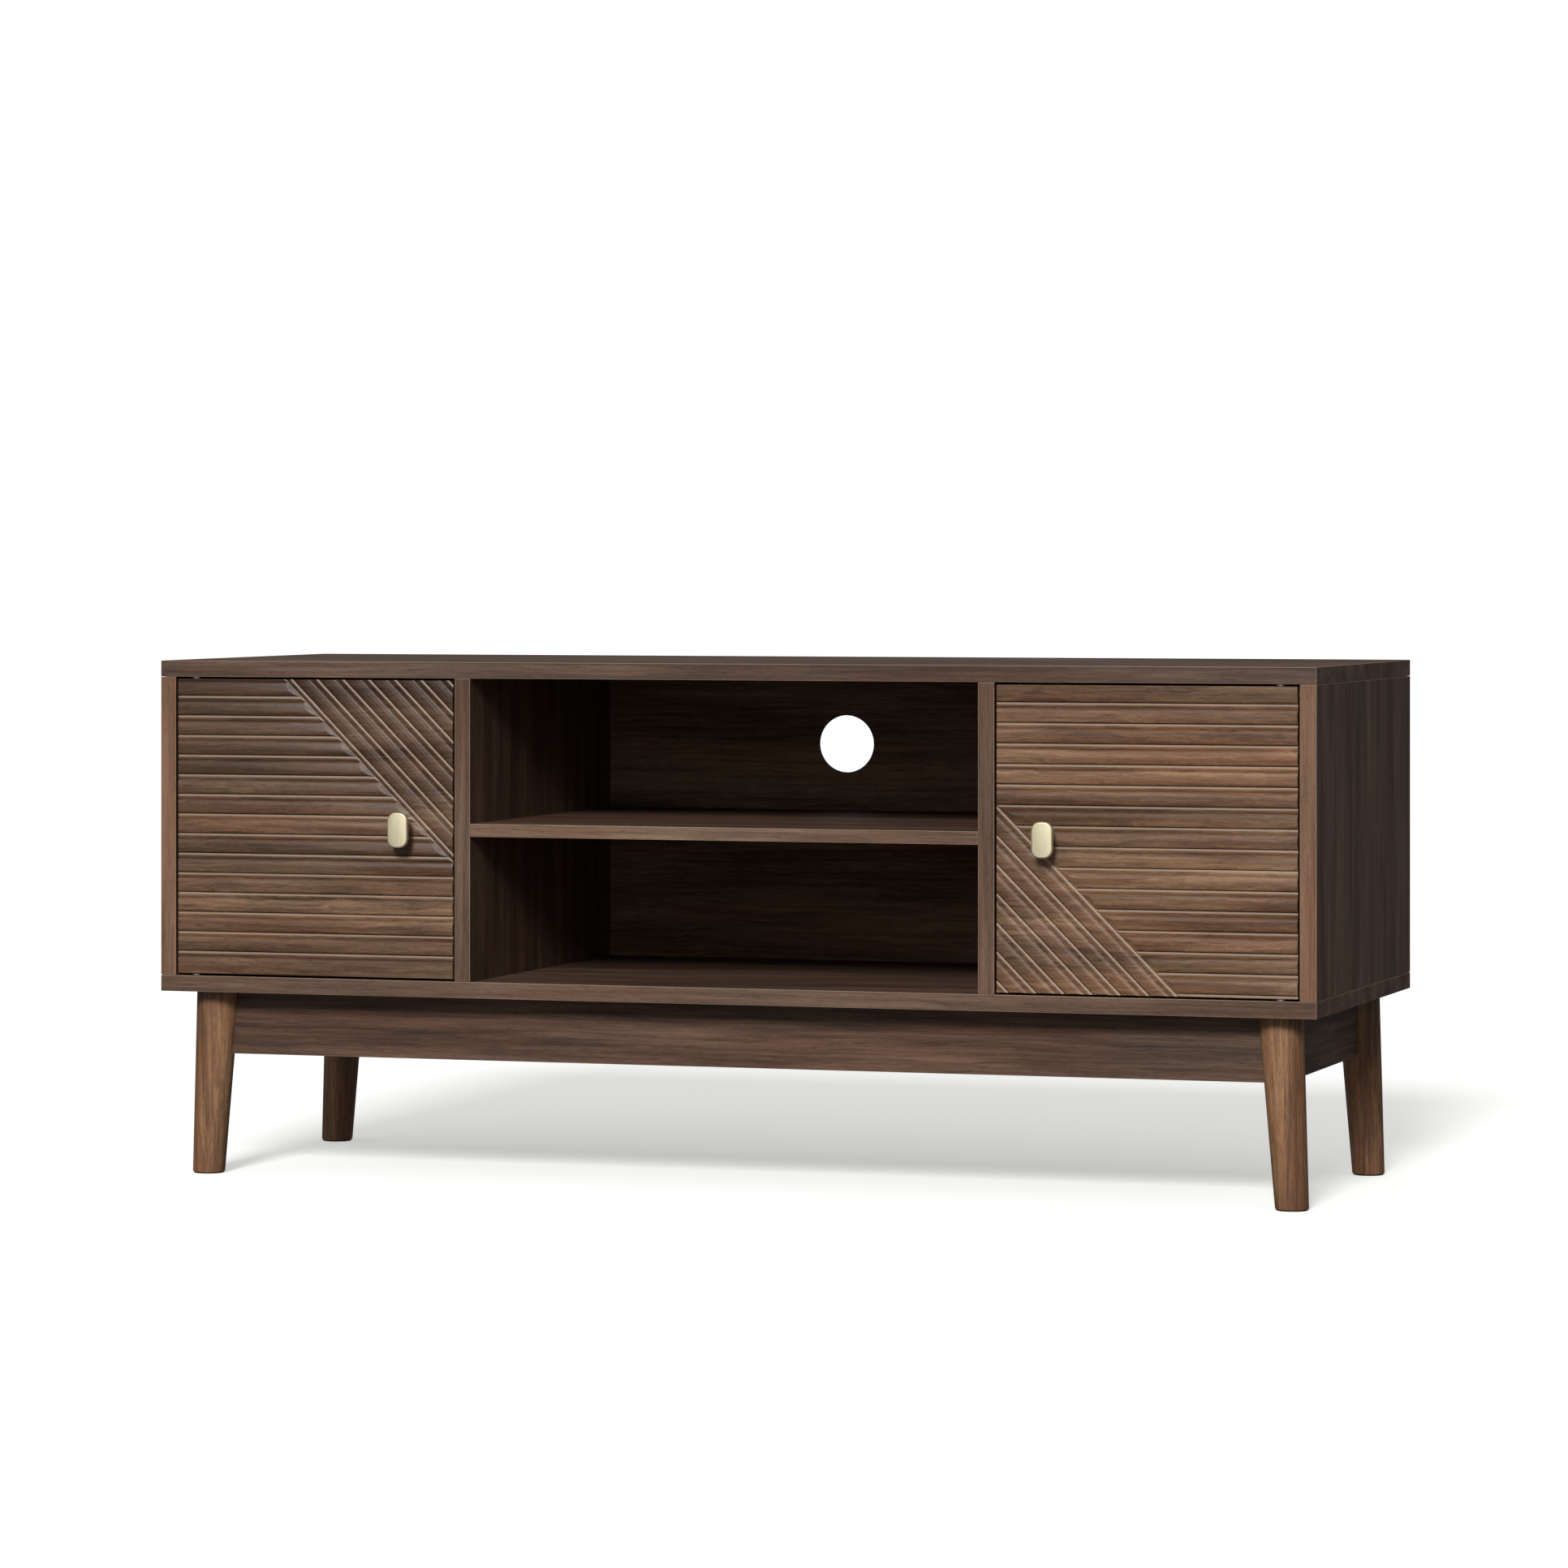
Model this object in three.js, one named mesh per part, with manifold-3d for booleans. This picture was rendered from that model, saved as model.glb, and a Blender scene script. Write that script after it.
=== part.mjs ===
// A low TV stand: a board case with two slatted doors, an open middle with one shelf, and splayed legs.
// Millimetres, +Z up. X runs along the stand, the front faces -Y, and the feet stand on Z = 0.
import * as THREE from "three";
import { mergeVertices } from "three/addons/utils/BufferGeometryUtils.js";
import Module from "manifold-3d";

const wasm = await Module();
wasm.setup();

// Case
const WIDTH = 1100;
const CASE_DEPTH = 395;
const CASE_HEIGHT = 308;
const LEG_HEIGHT = 172; // floor to the underside of the case
const BOARD = 15;
const SHELF_BOARD = 12;
const DOOR_BAY = 278; // clear width behind each door
const GAP = 0.3; // between pieces that touch
const SPARE = 1; // how far a cut starts outside the face that it opens

// Back panels, held in grooves
const BACK_BOARD = 3;
const BACK_INSET = 10; // rear edge of the case to the back panel
const GROOVE_DEPTH = 5;
const CABLE_HOLE_RADIUS = 27.5;
const CABLE_HOLE_DROP = 84; // top of the case to the hole's centre

// Legs and aprons
const LEG_END_INSET = 41; // end of the case to the leg's axis, at the leg's top
const LEG_FACE_INSET = 40; // front or rear of the case to the leg's axis
const LEG_TOP_RADIUS = 20;
const LEG_FOOT_RADIUS = 15;
const LEG_SPLAY_DEG = 3.3;
const APRON_HEIGHT = 60;
const APRON_BOARD = 15;
const LONG_APRON_SETBACK = 7; // inner side of a leg, at its top, to a long apron's inner face
const END_APRON_SETBACK = 9; // the same, to an end apron's inner face
const BRACKET_ARM = 25;
const BRACKET_WIDTH = 20;
const BRACKET_SHEET = 2;
const BRACKET_HOLE_RADIUS = 2;
const BRACKET_HOLE_AT = 15; // corner of a bracket to the hole in each arm
const BRACKET_SPREAD = 600; // between the two brackets of a long apron

// Leg fixings
const BOLT_RADIUS = 4;
const BOLT_IN_LEG = 30;
const BOLT_TIP_RADIUS = 2; // at the pointed end, in the leg
const BOLT_LEAD = 1; // bevel at the end in the insert
const INSERT_RADIUS = 6;
const INSERT_LENGTH = 11;
const GLIDE_STEP = 1; // edge of the foot to the edge of its glide
const GLIDE_THICKNESS = 1;
const GLIDE_BEVEL = 0.4;
const GLIDE_NAIL_RADIUS = 1.2;
const GLIDE_NAIL_LENGTH = 12;
const GLIDE_NAIL_POINT = 2;

// Doors
const DOOR_BOARD = 15;
const DOOR_GAP = 2; // all round each door
const DOOR_EDGE_CHAMFER = 1.5;
const SLATS = 15;
const SLAT_GROOVE_HALF = 3.4; // half the groove's width at the face
const SLAT_GROOVE_BED_HALF = 2.2; // half its width at the bottom
const SLAT_GROOVE_DEPTH = 2.4;
const FIELD_LEG = 162.5; // side of the corner triangle with diagonal slats
const KNOB_EDGE = 47; // free edge of the door to the knob's centre
const KNOB_WIDTH = 19.5;
const KNOB_HEIGHT = 32.5;
const KNOB_CORNER = 8;
const KNOB_TAB = 6;
const KNOB_ROUND = 1.5;
const KNOB_REACH = 20; // front of the knob beyond the door's face
const KNOB_STEM_RADIUS = 5;

// Door pivots
const SWING_CLEARANCE = 0.375; // least gap between a door's swinging corner and the side panel
const PIVOT_RADIUS = 2.5;
const PIVOT_SHAFT = 9;
const PIVOT_FLANGE_RADIUS = 4.5;
const PIVOT_CLEARANCE = 0.15;
const PIVOT_LEAD = 0.5; // bevel at both ends of the pin
const BUSH_RADIUS = 3.6;
const BUSH_LENGTH = 10;

// Magnetic catches
const CATCH_EDGE = 35; // free edge of the door to the catch's centre
const CATCH_SIZE = [40, 14, 12];
const MAGNET_SIZE = [30, 10, 6];
const MAGNET_PROUD = 1;
const STRIKE_SIZE = [36, 1.5, 9];

// Screws
const SCREW_RADIUS = 2.5;
const SCREW_TIP_RADIUS = 1;
const SCREW_IN_SHELF = 30;
const SCREW_HEAD_RADIUS = 4.5;
const SCREW_HEAD_HEIGHT = 2.2;
const SCREW_HEAD_RIM = 1.3; // height of the head's upright rim
const SCREW_HEAD_DOME = 1.35; // how far the dome draws in above the rim
const SCREW_EDGE = 50; // front or rear end of the shelf to its screw
const KNOB_SCREW_RADIUS = 2;
const KNOB_SCREW_IN_STEM = 8;
const KNOB_SCREW_HEAD_RADIUS = 4;

// Sides of round pieces
const HARDWARE_SEGMENTS = 16;
const LEG_SEGMENTS = 32;
const CABLE_HOLE_SEGMENTS = 48;

// Places that follow from the sizes above. Y is 0 at the case's front face here.
const half = WIDTH / 2;
const bayOuter = half - BOARD;
const bayInner = bayOuter - DOOR_BAY;
const middleHalf = bayInner - BOARD;
const caseBottom = LEG_HEIGHT;
const caseTop = LEG_HEIGHT + CASE_HEIGHT;
const clearBottom = caseBottom + BOARD;
const clearTop = caseTop - BOARD;
const clearHeight = clearTop - clearBottom;
const clearMiddle = (clearBottom + clearTop) / 2;
const backRear = CASE_DEPTH - BACK_INSET;
const backFront = backRear - BACK_BOARD;
const shelfRear = backFront - GAP;
const doorWidth = DOOR_BAY - 2 * DOOR_GAP;
const doorHeight = clearHeight - 2 * DOOR_GAP;
const slatPitch = doorHeight / SLATS;
// The pivots are midway through the door, and so far in that its outer corners just clear the side
// panel: (inset)^2 + (half the board)^2 = (inset + room)^2.
const pivotY = DOOR_BOARD / 2;
const swingRoom = DOOR_GAP - SWING_CLEARANCE;
const pivotInset = (pivotY ** 2 - swingRoom ** 2) / (2 * swingRoom);
const pivotX = bayOuter - DOOR_GAP - pivotInset;
const freeEdge = bayInner + DOOR_GAP;
const boltIntoCase = INSERT_LENGTH + GAP;
const legTopX = half - LEG_END_INSET;
const longApronInner = LEG_TOP_RADIUS - LONG_APRON_SETBACK; // legs' axis to a long apron's inner face
const endApronInner = legTopX - (LEG_TOP_RADIUS - END_APRON_SETBACK);
const legFoot = GLIDE_THICKNESS + GAP;
const splay = THREE.MathUtils.degToRad(LEG_SPLAY_DEG);
const footX = legTopX + Math.tan(splay) * (LEG_HEIGHT - legFoot);
const screwDepths = [SCREW_EDGE, shelfRear - SCREW_EDGE];

const finishes = {
  flatWalnut: { color: 0x5e4635, roughness: 0.5, metalness: 0 },
  doorWalnut: { color: 0x6a5040, roughness: 0.45, metalness: 0 },
  legWalnut: { color: 0x735640, roughness: 0.5, metalness: 0 },
  backWalnut: { color: 0x4a382c, roughness: 0.6, metalness: 0 },
  satinBrass: { color: 0xd9cf9f, roughness: 0.35, metalness: 1 },
  zincSteel: { color: 0xb9bcc0, roughness: 0.35, metalness: 1 },
  darkFerrite: { color: 0x3a3b3e, roughness: 0.55, metalness: 0.3 },
  brownPlastic: { color: 0x3c2e25, roughness: 0.5, metalness: 0 },
  whiteNylon: { color: 0xe4e1d8, roughness: 0.5, metalness: 0 },
};

// A box between two corners.
function box(x0, x1, y0, y1, z0, z1) {
  const shape = new THREE.BoxGeometry(x1 - x0, y1 - y0, z1 - z0);
  return shape.translate((x0 + x1) / 2, (y0 + y1) / 2, (z0 + z1) / 2);
}

// A box of a given [x, y, z] size about a centre.
function block([sizeX, sizeY, sizeZ], x, y, z) {
  return new THREE.BoxGeometry(sizeX, sizeY, sizeZ).translate(x, y, z);
}

// A piece turned about Z, from a profile of [radius, height] points listed from the bottom up.
function turned(profile, segments = HARDWARE_SEGMENTS) {
  const points = profile.map(([radius, height]) => new THREE.Vector2(radius, height));
  return new THREE.LatheGeometry(points, segments).rotateX(Math.PI / 2);
}

// A plain round bar along Z.
function bar(radius, bottom, top, segments = HARDWARE_SEGMENTS) {
  return turned([[0, bottom], [radius, bottom], [radius, top], [0, top]], segments);
}

// A round tube along Z, its profile closed on itself.
function tube(inner, outer, bottom, top, segments = HARDWARE_SEGMENTS) {
  return turned(
    [[inner, bottom], [outer, bottom], [outer, top], [inner, top], [inner, bottom]],
    segments,
  );
}

// A flat outline, [u, v] points, made into a prism of a given length along its third axis.
function prism(outline, length) {
  const shape = new THREE.Shape(outline.map(([u, v]) => new THREE.Vector2(u, v)));
  return new THREE.ExtrudeGeometry(shape, { depth: length, bevelEnabled: false });
}

// The solid of a closed geometry, for cutting and joining.
function solid(geometry) {
  const bare = geometry.index ? geometry.toNonIndexed() : geometry.clone();
  bare.deleteAttribute("normal");
  bare.deleteAttribute("uv");
  const merged = mergeVertices(bare);
  return new wasm.Manifold(
    new wasm.Mesh({
      numProp: 3,
      vertProperties: merged.attributes.position.array,
      triVerts: new Uint32Array(merged.index.array),
    }),
  );
}

function geometryOf(shape) {
  const { vertProperties, triVerts } = shape.getMesh();
  const geometry = new THREE.BufferGeometry();
  geometry.setAttribute("position", new THREE.BufferAttribute(vertProperties, 3));
  geometry.setIndex(new THREE.BufferAttribute(triVerts, 1));
  return geometry;
}

function cut(geometry, tools) {
  const rest = tools.reduce((shape, tool) => shape.subtract(solid(tool)), solid(geometry));
  return geometryOf(rest);
}

function join(first, second) {
  return geometryOf(solid(first).add(solid(second)));
}

// Adds a piece to a group. Its geometry is centred on its own position.
function addPart(group, name, geometry, finish) {
  geometry.computeBoundingBox();
  const centre = geometry.boundingBox.getCenter(new THREE.Vector3());
  geometry.translate(-centre.x, -centre.y, -centre.z);
  geometry.computeVertexNormals();
  const mesh = new THREE.Mesh(geometry, new THREE.MeshStandardMaterial(finishes[finish]));
  mesh.name = name;
  mesh.position.copy(centre);
  group.add(mesh);
  return mesh;
}

const sides = [
  { name: "left", sign: -1 },
  { name: "right", sign: 1 },
];
const stations = [
  { name: "front", y: LEG_FACE_INSET, inward: 1 },
  { name: "rear", y: CASE_DEPTH - LEG_FACE_INSET, inward: -1 },
];

const stand = new THREE.Group();
const cabinet = new THREE.Group();
cabinet.position.y = -(CASE_DEPTH - KNOB_REACH) / 2;
stand.add(cabinet);

// Top and bottom boards, grooved for the back panels, with blind holes for the pivots and inserts.
function pivotHoles(mouth, direction) {
  const end = mouth + direction * (PIVOT_SHAFT + 2 * GAP);
  const [bottom, top] = direction > 0 ? [mouth - SPARE, end] : [end, mouth + SPARE];
  return sides.map(({ sign }) =>
    bar(PIVOT_RADIUS + PIVOT_CLEARANCE, bottom, top).translate(sign * pivotX, pivotY, 0),
  );
}

function levelGroove(bottom, top) {
  const reach = bayOuter + GROOVE_DEPTH;
  return box(-reach, reach, backFront - GAP, backRear + GAP, bottom, top);
}

function insertHoles() {
  return sides.flatMap(({ sign }) =>
    stations.map(({ y }) =>
      bar(INSERT_RADIUS + GAP, caseBottom - SPARE, caseBottom + INSERT_LENGTH + 2 * GAP).translate(
        sign * legTopX,
        y,
        0,
      ),
    ),
  );
}

addPart(
  cabinet,
  "top_panel",
  cut(box(-half, half, 0, CASE_DEPTH, clearTop, caseTop), [
    levelGroove(clearTop - SPARE, clearTop + GROOVE_DEPTH),
    ...pivotHoles(clearTop, 1),
  ]),
  "flatWalnut",
);
addPart(
  cabinet,
  "bottom_panel",
  cut(box(-half, half, 0, CASE_DEPTH, caseBottom, clearBottom), [
    levelGroove(clearBottom - GROOVE_DEPTH, clearBottom + SPARE),
    ...pivotHoles(clearBottom, -1),
    ...insertHoles(),
  ]),
  "flatWalnut",
);

// Side panels and dividers stand between them. A groove faces each bay that a back panel closes.
function uprightGroove(x, direction) {
  const ends = [x - direction * SPARE, x + direction * GROOVE_DEPTH];
  const [x0, x1] = ends.sort((a, b) => a - b);
  return box(x0, x1, backFront - GAP, backRear + GAP, clearBottom, clearTop);
}

function shelfScrewHoles(x0, x1) {
  return screwDepths.map((y) =>
    bar(SCREW_RADIUS + GAP, 0, x1 - x0).rotateY(Math.PI / 2).translate(x0, y, clearMiddle),
  );
}

for (const { name, sign } of sides) {
  const [sideLow, sideHigh] = [bayOuter * sign, half * sign].sort((a, b) => a - b);
  addPart(
    cabinet,
    `${name}_side_panel`,
    cut(box(sideLow, sideHigh, 0, CASE_DEPTH, clearBottom + GAP, clearTop - GAP), [
      uprightGroove(bayOuter * sign, sign),
    ]),
    "flatWalnut",
  );
  const [low, high] = [middleHalf * sign, bayInner * sign].sort((a, b) => a - b);
  addPart(
    cabinet,
    `${name}_divider`,
    cut(box(low, high, 0, CASE_DEPTH, clearBottom + GAP, clearTop - GAP), [
      uprightGroove(low, 1),
      uprightGroove(high, -1),
      ...shelfScrewHoles(low - SPARE, high + SPARE),
    ]),
    "flatWalnut",
  );
}

// The fixed shelf, and the screws that hold it through the dividers from the door bays.
const shelfHalf = middleHalf - GAP;
const shelfHoleDepth = SCREW_IN_SHELF + GAP;
addPart(
  cabinet,
  "centre_shelf",
  cut(
    box(
      -shelfHalf,
      shelfHalf,
      0,
      shelfRear,
      clearMiddle - SHELF_BOARD / 2,
      clearMiddle + SHELF_BOARD / 2,
    ),
    [
      ...shelfScrewHoles(-shelfHalf - SPARE, -shelfHalf + shelfHoleDepth),
      ...shelfScrewHoles(shelfHalf - shelfHoleDepth, shelfHalf + SPARE),
    ],
  ),
  "flatWalnut",
);

// The head of a screw stands a gap clear of the face that it pulls on.
function screwHead(shankRadius, headRadius) {
  return [
    [shankRadius, GAP],
    [headRadius, GAP],
    [headRadius, SCREW_HEAD_RIM],
    [headRadius - SCREW_HEAD_DOME, SCREW_HEAD_HEIGHT],
    [0, SCREW_HEAD_HEIGHT],
  ];
}

const shelfScrewLength = BOARD + SCREW_IN_SHELF;
const shelfScrew = [
  [0, -shelfScrewLength],
  [SCREW_TIP_RADIUS, -shelfScrewLength],
  [SCREW_RADIUS, SCREW_RADIUS - shelfScrewLength],
  ...screwHead(SCREW_RADIUS, SCREW_HEAD_RADIUS),
];
for (const { name, sign } of sides) {
  screwDepths.forEach((y, i) => {
    addPart(
      cabinet,
      `shelf_screw_${name}_${stations[i].name}`,
      turned(shelfScrew).rotateY((sign * Math.PI) / 2).translate(bayInner * sign, y, clearMiddle),
      "zincSteel",
    );
  });
}

// Back panels slide in the grooves. The middle one has the cable hole.
const grip = GROOVE_DEPTH - GAP;
function backPanel(x0, x1) {
  return box(x0 - grip, x1 + grip, backFront, backRear, clearBottom - grip, clearTop + grip);
}

addPart(cabinet, "left_back_panel", backPanel(-bayOuter, -bayInner), "backWalnut");
addPart(
  cabinet,
  "centre_back_panel",
  cut(backPanel(-middleHalf, middleHalf), [
    bar(CABLE_HOLE_RADIUS, -SPARE, BACK_BOARD + SPARE, CABLE_HOLE_SEGMENTS)
      .rotateX(-Math.PI / 2)
      .translate(0, backFront, caseTop - CABLE_HOLE_DROP),
  ]),
  "backWalnut",
);
addPart(cabinet, "right_back_panel", backPanel(bayInner, bayOuter), "backWalnut");

// A leg is a turned cone, leaned outwards and sawn level at both ends.
const taper = (LEG_TOP_RADIUS - LEG_FOOT_RADIUS) / (LEG_HEIGHT - legFoot);

function leaningCone(sign, y, extraRadius) {
  const spare = 10; // beyond each sawn end
  const top = LEG_HEIGHT - GAP;
  const profile = [
    [0, legFoot - spare],
    [LEG_FOOT_RADIUS + extraRadius - taper * spare, legFoot - spare],
    [LEG_TOP_RADIUS + extraRadius + taper * spare, top + spare],
    [0, top + spare],
  ];
  return turned(profile, LEG_SEGMENTS)
    .translate(0, 0, -LEG_HEIGHT)
    .rotateY(-sign * splay)
    .translate(sign * legTopX, y, LEG_HEIGHT);
}

function legSolid(sign, y) {
  const reach = 3 * LEG_TOP_RADIUS + footX;
  const slab = box(-reach, reach, -reach, CASE_DEPTH + reach, legFoot, LEG_HEIGHT - GAP);
  const trimmed = solid(leaningCone(sign, y, 0)).intersect(solid(slab));
  const boltHole = bar(BOLT_RADIUS + GAP, LEG_HEIGHT - BOLT_IN_LEG - GAP, LEG_HEIGHT + SPARE);
  const nailHole = bar(
    GLIDE_NAIL_RADIUS + GAP,
    legFoot - SPARE,
    legFoot + GLIDE_NAIL_LENGTH + GAP,
  );
  return cut(geometryOf(trimmed), [
    boltHole.translate(sign * legTopX, y, 0),
    nailHole.translate(sign * footX, y, 0),
  ]);
}

const hangerBolt = [
  [0, LEG_HEIGHT - BOLT_IN_LEG],
  [BOLT_TIP_RADIUS, LEG_HEIGHT - BOLT_IN_LEG],
  [BOLT_RADIUS, LEG_HEIGHT - BOLT_IN_LEG + BOLT_RADIUS],
  [BOLT_RADIUS, LEG_HEIGHT + boltIntoCase - BOLT_LEAD],
  [BOLT_RADIUS - BOLT_LEAD, LEG_HEIGHT + boltIntoCase],
  [0, LEG_HEIGHT + boltIntoCase],
];
const glideRadius = LEG_FOOT_RADIUS - GLIDE_STEP;
const glide = [
  [0, 0],
  [glideRadius - GLIDE_BEVEL, 0],
  [glideRadius, GLIDE_BEVEL],
  [glideRadius, GLIDE_THICKNESS],
  [GLIDE_NAIL_RADIUS, GLIDE_THICKNESS],
  [GLIDE_NAIL_RADIUS, legFoot + GLIDE_NAIL_LENGTH - GLIDE_NAIL_POINT],
  [0, legFoot + GLIDE_NAIL_LENGTH],
];

for (const { name: side, sign } of sides) {
  for (const { name: station, y } of stations) {
    const corner = `${station}_${side}`;
    addPart(cabinet, `${corner}_leg`, legSolid(sign, y), "legWalnut");
    addPart(
      cabinet,
      `${corner}_hanger_bolt`,
      turned(hangerBolt).translate(sign * legTopX, y, 0),
      "zincSteel",
    );
    addPart(
      cabinet,
      `${corner}_insert_nut`,
      tube(
        BOLT_RADIUS + GAP,
        INSERT_RADIUS,
        caseBottom + GAP,
        caseBottom + INSERT_LENGTH,
      ).translate(sign * legTopX, y, 0),
      "zincSteel",
    );
    addPart(
      cabinet,
      `${corner}_foot_glide`,
      turned(glide).translate(sign * footX, y, 0),
      "brownPlastic",
    );
  }
}

// Apron boards under the case, their ends scribed to the round legs.
const apronTop = caseBottom - GAP;
const apronBottom = caseBottom - APRON_HEIGHT;

for (const { name, y, inward } of stations) {
  const inner = y + inward * longApronInner;
  const [low, high] = [inner, inner - inward * APRON_BOARD].sort((a, b) => a - b);
  addPart(
    cabinet,
    `${name}_apron`,
    cut(
      box(-legTopX, legTopX, low, high, apronBottom, apronTop),
      sides.map(({ sign }) => leaningCone(sign, y, GAP)),
    ),
    "flatWalnut",
  );
}

const [frontEnd, rearEnd] = stations.map(({ y, inward }) => y + inward * (longApronInner + GAP));
for (const { name, sign } of sides) {
  const [low, high] = [sign * endApronInner, sign * (endApronInner + APRON_BOARD)].sort(
    (a, b) => a - b,
  );
  addPart(
    cabinet,
    `${name}_apron`,
    cut(
      box(low, high, frontEnd, rearEnd, apronBottom, apronTop),
      stations.map(({ y }) => leaningCone(sign, y, GAP)),
    ),
    "flatWalnut",
  );
}

// Angle brackets inside the aprons. One arm lies on the apron, the other under the case.
function bracket() {
  const outline = [
    [0, 0],
    [BRACKET_ARM, 0],
    [BRACKET_ARM, -BRACKET_SHEET],
    [BRACKET_SHEET, -BRACKET_SHEET],
    [BRACKET_SHEET, -BRACKET_ARM],
    [0, -BRACKET_ARM],
  ];
  const angle = prism(outline, BRACKET_WIDTH).translate(0, 0, -BRACKET_WIDTH / 2);
  const hole = () => bar(BRACKET_HOLE_RADIUS, -SPARE, BRACKET_SHEET + SPARE);
  return cut(angle.rotateX(Math.PI / 2), [
    hole().translate(BRACKET_HOLE_AT, 0, -BRACKET_SHEET),
    hole().rotateY(Math.PI / 2).translate(0, 0, -BRACKET_HOLE_AT),
  ]);
}

function addBracket(name, x, y, turn) {
  addPart(
    cabinet,
    name,
    bracket().rotateZ(turn).translate(x, y, caseBottom - GAP),
    "zincSteel",
  );
}

for (const { name: station, y, inward } of stations) {
  const inside = y + inward * (longApronInner + GAP);
  for (const { name: side, sign } of sides) {
    const x = (sign * BRACKET_SPREAD) / 2;
    addBracket(`${station}_apron_bracket_${side}`, x, inside, (inward * Math.PI) / 2);
  }
}
for (const { name, sign } of sides) {
  const turn = sign > 0 ? Math.PI : 0;
  addBracket(`${name}_apron_bracket`, sign * (endApronInner - GAP), CASE_DEPTH / 2, turn);
}

// Door panel about its own centre, its face at Y = 0. Slats run level, and diagonally in the
// corner at +X +Z. A half groove opens at the top edge.
function grooveCutter(length) {
  const outline = [
    [-SLAT_GROOVE_HALF, SPARE],
    [-SLAT_GROOVE_HALF, 0],
    [-SLAT_GROOVE_BED_HALF, -SLAT_GROOVE_DEPTH],
    [SLAT_GROOVE_BED_HALF, -SLAT_GROOVE_DEPTH],
    [SLAT_GROOVE_HALF, 0],
    [SLAT_GROOVE_HALF, SPARE],
  ];
  return prism(outline, length)
    .translate(0, 0, -length / 2)
    .rotateY(Math.PI / 2)
    .rotateX(Math.PI);
}

function doorPanel() {
  const x = doorWidth / 2;
  const z = doorHeight / 2;
  const c = DOOR_EDGE_CHAMFER;
  const plan = [
    [-x + c, 0],
    [x - c, 0],
    [x, c],
    [x, DOOR_BOARD],
    [-x, DOOR_BOARD],
    [-x, c],
  ];
  const reach = doorWidth + doorHeight;
  let panel = solid(prism(plan, doorHeight).translate(0, 0, -z));
  const field = solid(
    prism(
      [
        [x - FIELD_LEG - reach, z + reach],
        [x + reach, z - FIELD_LEG - reach],
        [x + reach, z + reach],
      ],
      4 * SLAT_GROOVE_DEPTH,
    )
      .rotateX(Math.PI / 2)
      .translate(0, 2 * SLAT_GROOVE_DEPTH, 0),
  );
  for (let i = 0; i < SLATS; i++) {
    const groove = solid(grooveCutter(2 * doorWidth).translate(0, 0, z - i * slatPitch));
    panel = panel.subtract(groove.subtract(field));
  }
  for (let leg = FIELD_LEG; leg > 0; leg -= slatPitch * Math.SQRT2) {
    const groove = grooveCutter(2 * reach).rotateY(Math.PI / 4).translate(x - leg / 2, 0, z - leg / 2);
    panel = panel.subtract(solid(groove));
  }
  const pivot = pivotInset - x;
  const knob = x - KNOB_EDGE;
  return cut(geometryOf(panel), [
    bar(BUSH_RADIUS + GAP, z - BUSH_LENGTH - 2 * GAP, z + SPARE).translate(pivot, pivotY, 0),
    bar(BUSH_RADIUS + GAP, -z - SPARE, -z + BUSH_LENGTH + 2 * GAP).translate(pivot, pivotY, 0),
    bar(KNOB_SCREW_RADIUS + GAP, -SPARE, DOOR_BOARD + SPARE)
      .rotateX(-Math.PI / 2)
      .translate(knob, 0, 0),
  ]);
}

// A knob is an upright rounded tab on a round stem, drilled for its screw.
function knobSolid() {
  const w = KNOB_WIDTH / 2 - KNOB_ROUND;
  const h = KNOB_HEIGHT / 2 - KNOB_ROUND;
  const r = KNOB_CORNER - KNOB_ROUND;
  const outline = new THREE.Shape();
  outline.absarc(w - r, h - r, r, 0, Math.PI / 2);
  outline.absarc(-w + r, h - r, r, Math.PI / 2, Math.PI);
  outline.absarc(-w + r, -h + r, r, Math.PI, 1.5 * Math.PI);
  outline.absarc(w - r, -h + r, r, 1.5 * Math.PI, 2 * Math.PI);
  const tab = new THREE.ExtrudeGeometry(outline, {
    depth: KNOB_TAB - 2 * KNOB_ROUND,
    bevelThickness: KNOB_ROUND,
    bevelSize: KNOB_ROUND,
    bevelSegments: 2,
    curveSegments: 4,
  })
    .rotateX(Math.PI / 2)
    .translate(0, -KNOB_REACH + KNOB_TAB - KNOB_ROUND, 0);
  const stemLength = KNOB_REACH - KNOB_TAB / 2;
  const stem = bar(KNOB_STEM_RADIUS, GAP, stemLength).rotateX(Math.PI / 2);
  const drilled = bar(KNOB_SCREW_RADIUS + GAP, -SPARE, KNOB_SCREW_IN_STEM + GAP);
  return cut(join(tab, stem), [drilled.rotateX(Math.PI / 2)]);
}

const knobScrew = [
  [0, -(DOOR_BOARD + KNOB_SCREW_IN_STEM)],
  [KNOB_SCREW_RADIUS, -(DOOR_BOARD + KNOB_SCREW_IN_STEM)],
  ...screwHead(KNOB_SCREW_RADIUS, KNOB_SCREW_HEAD_RADIUS),
];

// Each door hangs on two pivot pins. Its group turns about their axis.
const flangeFace = DOOR_GAP - GAP;
const pivotPin = [
  [0, GAP - PIVOT_SHAFT],
  [PIVOT_RADIUS - PIVOT_LEAD, GAP - PIVOT_SHAFT],
  [PIVOT_RADIUS, GAP - PIVOT_SHAFT + PIVOT_LEAD],
  [PIVOT_RADIUS, GAP],
  [PIVOT_FLANGE_RADIUS, GAP],
  [PIVOT_FLANGE_RADIUS, flangeFace],
  [PIVOT_RADIUS, flangeFace],
  [PIVOT_RADIUS, DOOR_GAP + PIVOT_SHAFT - PIVOT_LEAD],
  [PIVOT_RADIUS - PIVOT_LEAD, DOOR_GAP + PIVOT_SHAFT],
  [0, DOOR_GAP + PIVOT_SHAFT],
];
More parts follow.
